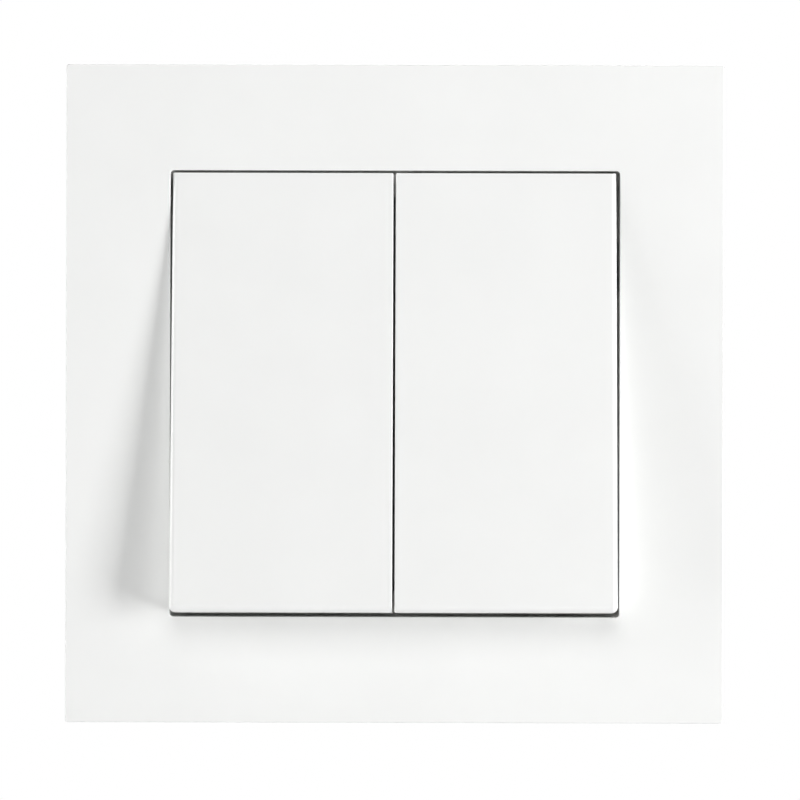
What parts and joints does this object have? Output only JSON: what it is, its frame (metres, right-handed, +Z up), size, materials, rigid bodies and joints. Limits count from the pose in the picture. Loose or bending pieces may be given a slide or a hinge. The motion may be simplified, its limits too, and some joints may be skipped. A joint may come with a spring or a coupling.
{
  "type": "double light switch",
  "caption": "Flush-mounted double light switch: square cover frame, side-by-side rockers and a wall-box insert with push-in terminals.",
  "frame": {"origin": "centre of the switch on the wall plane, midway between the wall box screws", "axes": "+X right and +Z up as seen from the room, +Y into the wall; the front faces -Y"},
  "size_m": [0.081, 0.0393, 0.081],
  "materials": {
    "white_gloss": "glossy white moulded thermoplastic",
    "cradle_plastic": "pale grey moulded plastic",
    "housing_plastic": "mid grey moulded thermoset",
    "zinc_steel": "zinc-plated pressed steel",
    "screw_steel": "zinc-plated screw",
    "plunger_plastic": "natural acetal",
    "spring_steel": "stainless spring steel",
    "copper": "bare copper alloy",
    "brass": "bare brass strip",
    "contact_silver": "silver contact rivet",
    "key_plastic": "amber moulded plastic"
  },
  "bodies": {
    "housing": {"cover_frame": "white_gloss", "mechanism_cover": "housing_plastic", "support_plate": "zinc_steel", "mechanism_base": "housing_plastic", "housing_screws": "screw_steel", "common_busbar": "brass", "left_load_strip": "brass", "right_load_strip": "brass", "left_fixed_tip": "contact_silver", "right_fixed_tip": "contact_silver", "common_clamps": "spring_steel", "left_clamps": "spring_steel", "right_clamps": "spring_steel"},
    "left_switch": {"left_rocker": "white_gloss", "left_cradle": "cradle_plastic", "left_plunger_spring": "spring_steel"},
    "left_pin": {"left_plunger": "plunger_plastic"},
    "left_contact": {"left_contact_lever": "copper", "left_moving_tip": "contact_silver"},
    "right_switch": {"right_rocker": "white_gloss", "right_cradle": "cradle_plastic", "right_plunger_spring": "spring_steel"},
    "right_pin": {"right_plunger": "plunger_plastic"},
    "right_contact": {"right_contact_lever": "copper", "right_moving_tip": "contact_silver"},
    "common_key": {"common_release_key": "key_plastic"},
    "left_key": {"left_release_key": "key_plastic"},
    "right_key": {"right_release_key": "key_plastic"}
  },
  "joints": [
    {"name": "left_rocker_tilt", "type": "hinge", "parent": "housing", "child": "left_switch", "pos_m": [-0.01367, -0.00697, 0], "axis": [1, 0, 0], "range_deg": [0, 10]},
    {"name": "left_contact_swing", "type": "hinge", "parent": "housing", "child": "left_contact", "pos_m": [-0.011, 0.0079, 0], "axis": [1, 0, 0], "range_deg": [-17, 0]},
    {"name": "left_plunger_slide", "type": "slide", "parent": "left_switch", "child": "left_pin", "axis": [0, -0.9962, 0.0872], "range_m": [0, 0.0006], "stiffness_N_per_m": 400, "springref_m": -0.004, "deforming": ["left_plunger_spring"]},
    {"name": "right_rocker_tilt", "type": "hinge", "parent": "housing", "child": "right_switch", "pos_m": [0.01367, -0.00697, 0], "axis": [1, 0, 0], "range_deg": [0, 10]},
    {"name": "right_contact_swing", "type": "hinge", "parent": "housing", "child": "right_contact", "pos_m": [0.011, 0.0079, 0], "axis": [1, 0, 0], "range_deg": [-17, 0]},
    {"name": "right_plunger_slide", "type": "slide", "parent": "right_switch", "child": "right_pin", "axis": [0, -0.9962, 0.0872], "range_m": [0, 0.0006], "stiffness_N_per_m": 400, "springref_m": -0.004, "deforming": ["right_plunger_spring"]},
    {"name": "common_key_press", "type": "slide", "parent": "housing", "child": "common_key", "axis": [0, -1, 0], "range_m": [0, 0.0015], "stiffness_N_per_m": 800, "springref_m": -0.001, "deforming": ["common_clamps"]},
    {"name": "left_key_press", "type": "slide", "parent": "housing", "child": "left_key", "axis": [0, -1, 0], "range_m": [0, 0.0015], "stiffness_N_per_m": 800, "springref_m": -0.001, "deforming": ["left_clamps"]},
    {"name": "right_key_press", "type": "slide", "parent": "housing", "child": "right_key", "axis": [0, -1, 0], "range_m": [0, 0.0015], "stiffness_N_per_m": 800, "springref_m": -0.001, "deforming": ["right_clamps"]}
  ],
  "couplings": [
    {"joint": "left_contact_swing", "follows": "left_rocker_tilt", "ratio": -1.7},
    {"joint": "right_contact_swing", "follows": "right_rocker_tilt", "ratio": -1.7}
  ]
}
